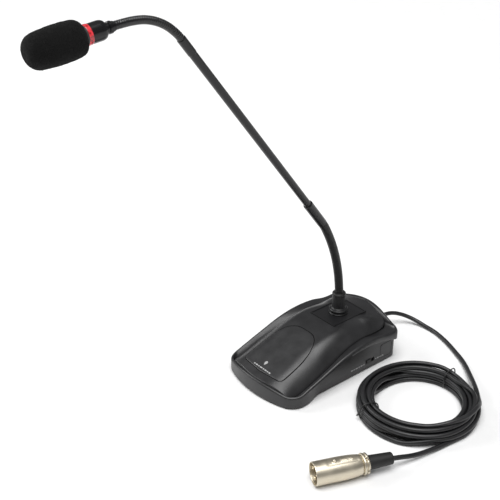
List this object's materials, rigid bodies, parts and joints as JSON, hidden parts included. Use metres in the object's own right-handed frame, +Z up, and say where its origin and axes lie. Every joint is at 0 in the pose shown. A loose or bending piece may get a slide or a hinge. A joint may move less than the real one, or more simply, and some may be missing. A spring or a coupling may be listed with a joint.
{
  "type": "gooseneck podium microphone",
  "caption": "Desktop condenser microphone on a gooseneck, with a weighted touch-pad base, red light ring, foam windscreen and a coiled lead that ends in a plug.",
  "frame": {"origin": "on the desk under the middle of the base", "axes": "+Z up, -Y towards the talker, +X to the side with the switch"},
  "size_m": [0.2055, 0.3768, 0.3513],
  "materials": {
    "case_plastic": "fine-textured satin charcoal moulding",
    "pad_plastic": "smooth satin insert",
    "plate_metal": "black satin powder coat",
    "cover_plastic": "plain black moulding",
    "soft_rubber": "matte black rubber",
    "steel_weight": "bare rolled steel",
    "steel_parts": "zinc-plated steel",
    "circuit_board": "green solder mask",
    "electronics": "moulded component bodies",
    "nylon": "natural nylon",
    "light_guide": "clear light guide",
    "flex_metal": "black ribbed flexible tube",
    "shaft_metal": "black satin paint on brass tube",
    "red_lens": "translucent red ring",
    "collar_metal": "grey satin paint",
    "capsule_brass": "plain brass can",
    "foam": "open-cell foam",
    "cord_jacket": "matte black jacket",
    "tie_plastic": "black plastic-covered wire",
    "nickel": "satin champagne nickel",
    "contact_metal": "plated contact pins"
  },
  "bodies": {
    "base": {"lower_case": "case_plastic", "top_cover": "case_plastic", "bottom_cover": "cover_plastic", "antislip_pad": "soft_rubber", "touch_pad": "pad_plastic", "pad_light_pipe": "light_guide", "touch_sensor_board": "circuit_board", "pad_led": "light_guide", "ballast_plate": "steel_weight", "main_board": "circuit_board", "output_transformer": "electronics", "capacitors": "electronics", "amplifier_chip": "electronics", "wire_headers": "nylon", "board_screws": "steel_parts", "cover_screws": "steel_parts", "switch_body": "cover_plastic", "cable_grommet": "soft_rubber", "cable_clamp": "cover_plastic", "inner_lead": "cord_jacket", "neck_wires": "cord_jacket", "neck_plate": "plate_metal", "neck_socket": "plate_metal", "socket_ring": "soft_rubber", "lock_nut": "steel_parts", "lock_washer": "steel_parts", "neck_root": "flex_metal", "cable_lead": "cord_jacket", "cable_coil": "cord_jacket", "cable_tail": "cord_jacket", "cable_ties": "tie_plastic", "plug_barrel": "nickel", "plug_insert": "cover_plastic", "plug_pins": "contact_metal", "plug_ring": "nickel", "plug_clamp": "cover_plastic", "plug_boot": "soft_rubber"},
    "lower_1": {"lower_link_1": "flex_metal"},
    "lower_2": {"lower_link_2": "flex_metal"},
    "lower_3": {"lower_link_3": "flex_metal"},
    "lower_4": {"lower_link_4": "flex_metal"},
    "lower_5": {"lower_link_5": "flex_metal"},
    "shaft": {"lower_ferrule": "shaft_metal", "shaft_tube": "shaft_metal", "upper_sleeve": "shaft_metal"},
    "upper_1": {"upper_link_1": "flex_metal"},
    "upper_2": {"upper_link_2": "flex_metal"},
    "upper_3": {"upper_link_3": "flex_metal"},
    "upper_4": {"upper_link_4": "flex_metal"},
    "upper_5": {"upper_link_5": "flex_metal"},
    "head": {"upper_ferrule": "shaft_metal", "head_housing": "shaft_metal", "light_ring": "red_lens", "light_ring_board": "circuit_board", "head_collar": "collar_metal", "capsule_tube": "collar_metal", "capsule": "capsule_brass"},
    "windscreen": {"windscreen": "foam"},
    "switch": {"switch_knob": "cover_plastic"}
  },
  "joints": [
    {"name": "lower_pitch_1", "type": "hinge", "parent": "base", "child": "lower_1", "pos_m": [0, 0.03353, 0.06806], "axis": [1, 0, 0], "range_deg": [-20, 10]},
    {"name": "lower_side_1", "type": "hinge", "parent": "lower_1", "child": "lower_2", "pos_m": [0, 0.03172, 0.08208], "axis": [0, 0.9773, 0.2116], "range_deg": [-14, 14]},
    {"name": "lower_pitch_2", "type": "hinge", "parent": "lower_2", "child": "lower_3", "pos_m": [0, 0.02872, 0.0959], "axis": [1, 0, 0], "range_deg": [-20, 10]},
    {"name": "lower_side_2", "type": "hinge", "parent": "lower_3", "child": "lower_4", "pos_m": [0, 0.02457, 0.10941], "axis": [0, 0.9277, 0.3734], "range_deg": [-14, 14]},
    {"name": "lower_pitch_3", "type": "hinge", "parent": "lower_4", "child": "lower_5", "pos_m": [0, 0.01929, 0.12253], "axis": [1, 0, 0], "range_deg": [-20, 10]},
    {"name": "lower_side_3", "type": "hinge", "parent": "lower_5", "child": "shaft", "pos_m": [0, 0.01292, 0.13515], "axis": [0, 0.7944, 0.6074], "range_deg": [-14, 14]},
    {"name": "upper_pitch_1", "type": "hinge", "parent": "shaft", "child": "upper_1", "pos_m": [0, -0.13486, 0.32888], "axis": [1, 0, 0], "range_deg": [-22, 11]},
    {"name": "upper_side_1", "type": "hinge", "parent": "upper_1", "child": "upper_2", "pos_m": [0, -0.14219, 0.33515], "axis": [0, 0.477, 0.8789], "range_deg": [-14, 14]},
    {"name": "upper_pitch_2", "type": "hinge", "parent": "upper_2", "child": "upper_3", "pos_m": [0, -0.15066, 0.33975], "axis": [1, 0, 0], "range_deg": [-22, 11]},
    {"name": "upper_side_2", "type": "hinge", "parent": "upper_3", "child": "upper_4", "pos_m": [0, -0.1599, 0.34248], "axis": [0, 0.0778, 0.997], "range_deg": [-14, 14]},
    {"name": "upper_pitch_3", "type": "hinge", "parent": "upper_4", "child": "upper_5", "pos_m": [0, -0.16951, 0.34323], "axis": [1, 0, 0], "range_deg": [-22, 11]},
    {"name": "upper_side_3", "type": "hinge", "parent": "upper_5", "child": "head", "pos_m": [0, -0.17916, 0.34278], "axis": [0, -0.1184, 0.993], "range_deg": [-14, 14]},
    {"name": "windscreen_pull", "type": "slide", "parent": "head", "child": "windscreen", "axis": [0, -0.993, -0.1184], "range_m": [0, 0.06]},
    {"name": "switch_slide", "type": "slide", "parent": "base", "child": "switch", "axis": [0, 1, 0], "range_m": [0, 0.0042]}
  ],
  "couplings": [
    {"joint": "lower_pitch_2", "follows": "lower_pitch_1", "ratio": 1},
    {"joint": "lower_side_2", "follows": "lower_side_1", "ratio": 1},
    {"joint": "lower_pitch_3", "follows": "lower_pitch_1", "ratio": 1},
    {"joint": "lower_side_3", "follows": "lower_side_1", "ratio": 1},
    {"joint": "upper_pitch_2", "follows": "upper_pitch_1", "ratio": 1},
    {"joint": "upper_side_2", "follows": "upper_side_1", "ratio": 1},
    {"joint": "upper_pitch_3", "follows": "upper_pitch_1", "ratio": 1},
    {"joint": "upper_side_3", "follows": "upper_side_1", "ratio": 1}
  ]
}
